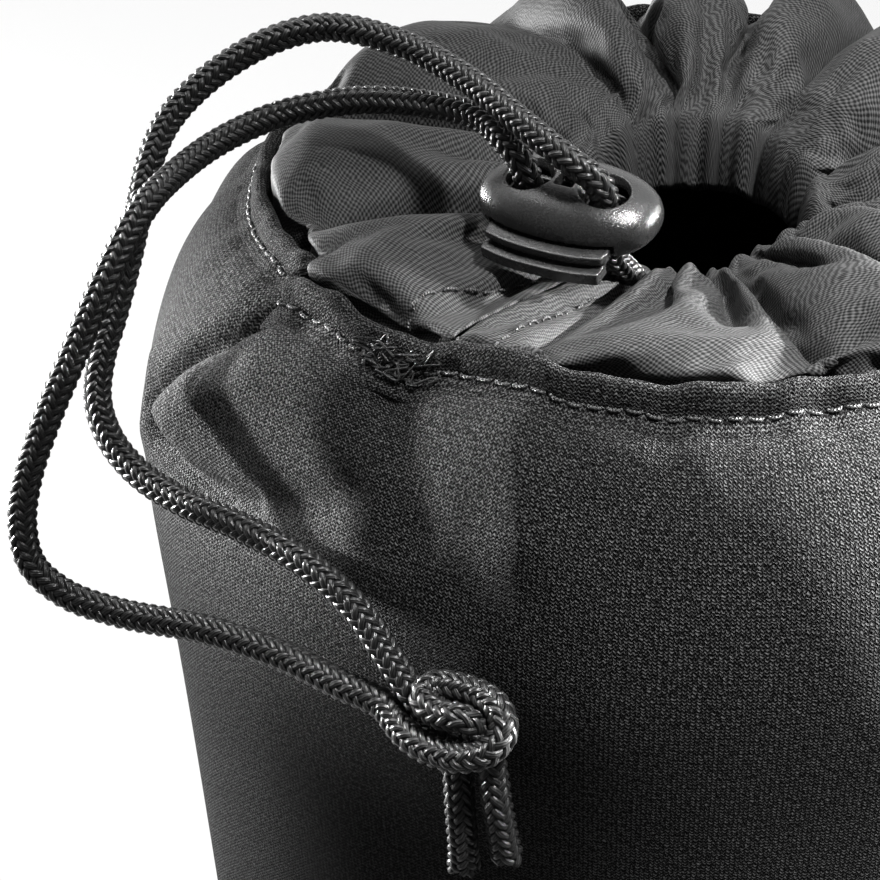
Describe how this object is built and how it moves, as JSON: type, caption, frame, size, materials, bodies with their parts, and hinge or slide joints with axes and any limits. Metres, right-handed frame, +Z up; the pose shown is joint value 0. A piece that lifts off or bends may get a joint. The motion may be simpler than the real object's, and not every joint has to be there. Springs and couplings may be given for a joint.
{
  "type": "lens pouch",
  "caption": "Soft round neoprene pouch for a camera lens, with a gathered nylon collar that a braided drawcord closes through a sprung cord lock",
  "frame": {"origin": "centre of the base, on the surface that the pouch stands on", "axes": "+Z up through the mouth, -Y towards the front where the knot hangs, +X to the right"},
  "size_m": [0.1283, 0.1272, 0.2345],
  "materials": {
    "neoprene": "charcoal knit jersey laminated to neoprene foam",
    "nylon": "dark grey plain-weave nylon with a slight sheen",
    "lining": "brushed dark grey lining cloth",
    "foam": "soft dark foam pad",
    "braid": "black braided polyester cord",
    "lock_plastic": "satin gunmetal-grey moulded plastic",
    "spring_steel": "bright spring wire"
  },
  "bodies": {
    "pouch": {"side_panel": "neoprene", "base_panel": "neoprene", "hem_band": "neoprene", "base_binding": "nylon", "inner_seam_tape": "nylon", "collar": "nylon", "cord_casing": "nylon", "lining_wall": "lining", "lining_base": "lining", "base_pad": "foam", "drawcord": "braid", "cord_riser_left": "braid", "cord_riser_right": "braid", "cord_strand_left": "braid", "cord_strand_right": "braid", "cord_knot": "braid", "cord_tail_left": "braid", "cord_tail_right": "braid"},
    "cord_lock": {"lock_body": "lock_plastic", "lock_spring": "spring_steel"},
    "plunger": {"lock_plunger": "lock_plastic"}
  },
  "joints": [
    {"name": "lock_slide", "type": "slide", "parent": "pouch", "child": "cord_lock", "axis": [-0.1073, -0.2355, 0.9659], "range_m": [0, 0.01], "deforming": ["cord_strand_left", "cord_strand_right"]},
    {"name": "plunger_press", "type": "slide", "parent": "cord_lock", "child": "plunger", "axis": [0.4006, 0.879, 0.2588], "range_m": [0, 0.0018], "stiffness_N_per_m": 400, "springref_m": -0.004, "deforming": ["lock_spring"]}
  ]
}
